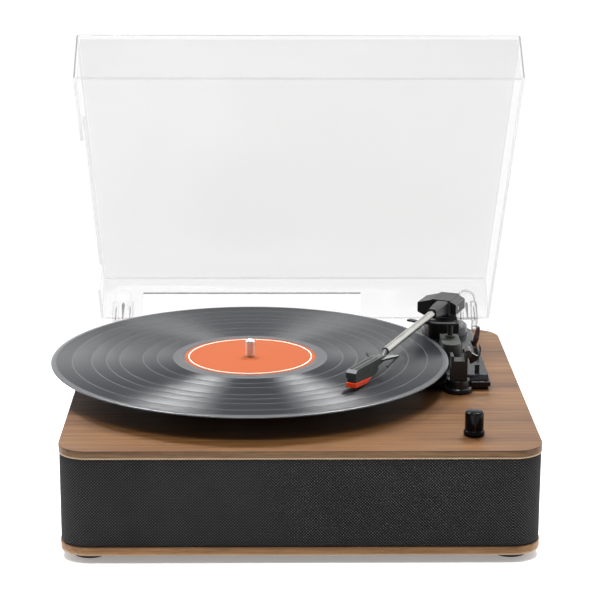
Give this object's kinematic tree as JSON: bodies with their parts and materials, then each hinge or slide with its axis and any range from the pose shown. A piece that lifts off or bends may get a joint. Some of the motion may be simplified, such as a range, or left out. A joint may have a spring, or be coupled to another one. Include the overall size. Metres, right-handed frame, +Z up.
{
  "type": "turntable record player",
  "caption": "Belt-drive record player: wooden boards over a cloth-wrapped base on rubber feet, record on the platter, pivoted tonearm, clear hinged dust cover held open.",
  "frame": {"origin": "centre of the bounding box on the plane the feet stand on", "axes": "+X to the right seen from the front, +Y to the back, +Z up along the record spindle"},
  "size_m": [0.3548, 0.3473, 0.3454],
  "materials": {
    "walnut": "walnut veneer, satin",
    "mdf": "raw board",
    "cloth": "woven speaker cloth",
    "foot_rubber": "matt",
    "steel": "zinc plated",
    "chrome": "polished",
    "black_gloss": "gloss",
    "black_matte": "fine texture",
    "grey_gloss": "gloss",
    "grey_plastic": "satin",
    "vinyl": "grooved, glossy",
    "label": "printed",
    "felt": "felt",
    "platter_metal": "cast",
    "belt_rubber": "smooth",
    "brass": "turned",
    "cone_paper": "pulp",
    "circuit": "solder mask",
    "clear": "clear, polished",
    "tube_metal": "satin",
    "red_plastic": "translucent",
    "dark_red": "gloss"
  },
  "bodies": {
    "plinth": {"amplifier_board": "circuit", "amplifier_parts": "platter_metal", "arm_base": "black_gloss", "arm_column": "black_matte", "arm_rest": "black_matte", "arm_turret": "grey_gloss", "base_screws": "steel", "board_posts": "black_matte", "bottom_board": "walnut", "cabinet_frame": "mdf", "drive_belt": "belt_rubber", "foot_1": "foot_rubber", "foot_2": "foot_rubber", "foot_3": "foot_rubber", "foot_4": "foot_rubber", "foot_screws": "steel", "headphone_jack": "black_matte", "hinge_lower_left": "clear", "hinge_lower_right": "clear", "hinge_pins": "steel", "hinge_screws": "steel", "lift_housing": "grey_plastic", "motor_can": "steel", "platter_bearing": "brass", "power_inlet": "black_matte", "rca_sockets": "steel", "rear_panel": "black_matte", "rest_collar": "grey_gloss", "speaker_cloth": "cloth", "speaker_cone_left": "cone_paper", "speaker_cone_right": "cone_paper", "speaker_frame_left": "black_matte", "speaker_frame_right": "black_matte", "top_board": "walnut", "volume_pot": "steel"},
    "platter_unit": {"platter": "platter_metal", "spindle": "chrome", "slip_mat": "felt", "record": "vinyl", "record_label": "label"},
    "pulley": {"motor_pulley": "brass"},
    "arm_swing": {"arm_yoke": "steel"},
    "arm_lift": {"head_block": "grey_plastic", "counterweight": "steel", "arm_boot": "grey_plastic", "arm_tube": "tube_metal", "headshell": "grey_plastic", "finger_lift": "tube_metal", "cartridge": "grey_plastic", "stylus_guard": "red_plastic", "stylus": "steel"},
    "lifter": {"lift_bar": "black_gloss"},
    "cue": {"cue_lever": "dark_red"},
    "clip": {"rest_clip": "black_gloss"},
    "speed": {"speed_slider": "black_matte"},
    "knob": {"volume_knob": "black_gloss", "pot_shaft": "steel"},
    "lid": {"dust_cover": "clear", "hinge_upper_left": "clear", "hinge_upper_right": "clear"}
  },
  "joints": [
    {"name": "platter_spin", "type": "hinge", "parent": "plinth", "child": "platter_unit", "pos_m": [-0.0264, -0.003, 0.082], "axis": [0, 0, 1], "continuous": true},
    {"name": "pulley_spin", "type": "hinge", "parent": "plinth", "child": "pulley", "pos_m": [-0.0924, -0.051, 0.082], "axis": [0, 0, 1], "continuous": true},
    {"name": "lid_hinge", "type": "hinge", "parent": "plinth", "child": "lid", "pos_m": [0.0099, 0.1438, 0.0744], "axis": [-1, 0, 0], "range_deg": [-51.2, 0]},
    {"name": "arm_swing", "type": "hinge", "parent": "plinth", "child": "arm_swing", "pos_m": [0.1309, 0.0968, 0.102], "axis": [0, 0, -1], "range_deg": [-22.35, 17.4]},
    {"name": "arm_lift", "type": "hinge", "parent": "arm_swing", "child": "arm_lift", "pos_m": [0.1309, 0.0968, 0.113], "axis": [-0.9225, 0.3859, 0], "range_deg": [0, 3]},
    {"name": "lifter_slide", "type": "slide", "parent": "plinth", "child": "lifter", "axis": [0, 0, 1], "range_m": [0, 0.0024]},
    {"name": "cue_swing", "type": "hinge", "parent": "plinth", "child": "cue", "pos_m": [0.1515, 0.0568, 0.0885], "axis": [-1, 0, 0], "range_deg": [0, 40]},
    {"name": "clip_swing", "type": "hinge", "parent": "plinth", "child": "clip", "pos_m": [0.1362, -0.0282, 0.112], "axis": [0, 1, 0], "range_deg": [-150, 0]},
    {"name": "speed_slide", "type": "slide", "parent": "plinth", "child": "speed", "axis": [0, 1, 0], "range_m": [0, 0.006]},
    {"name": "volume_turn", "type": "hinge", "parent": "plinth", "child": "knob", "pos_m": [0.1314, -0.1392, 0.092], "axis": [0, 0, -1], "range_deg": [0, 300]}
  ],
  "couplings": [
    {"joint": "pulley_spin", "follows": "platter_spin", "ratio": 12},
    {"joint": "lifter_slide", "follows": "arm_lift", "m_per_rad": 0.04583},
    {"joint": "cue_swing", "follows": "arm_lift", "ratio": 13.333}
  ]
}
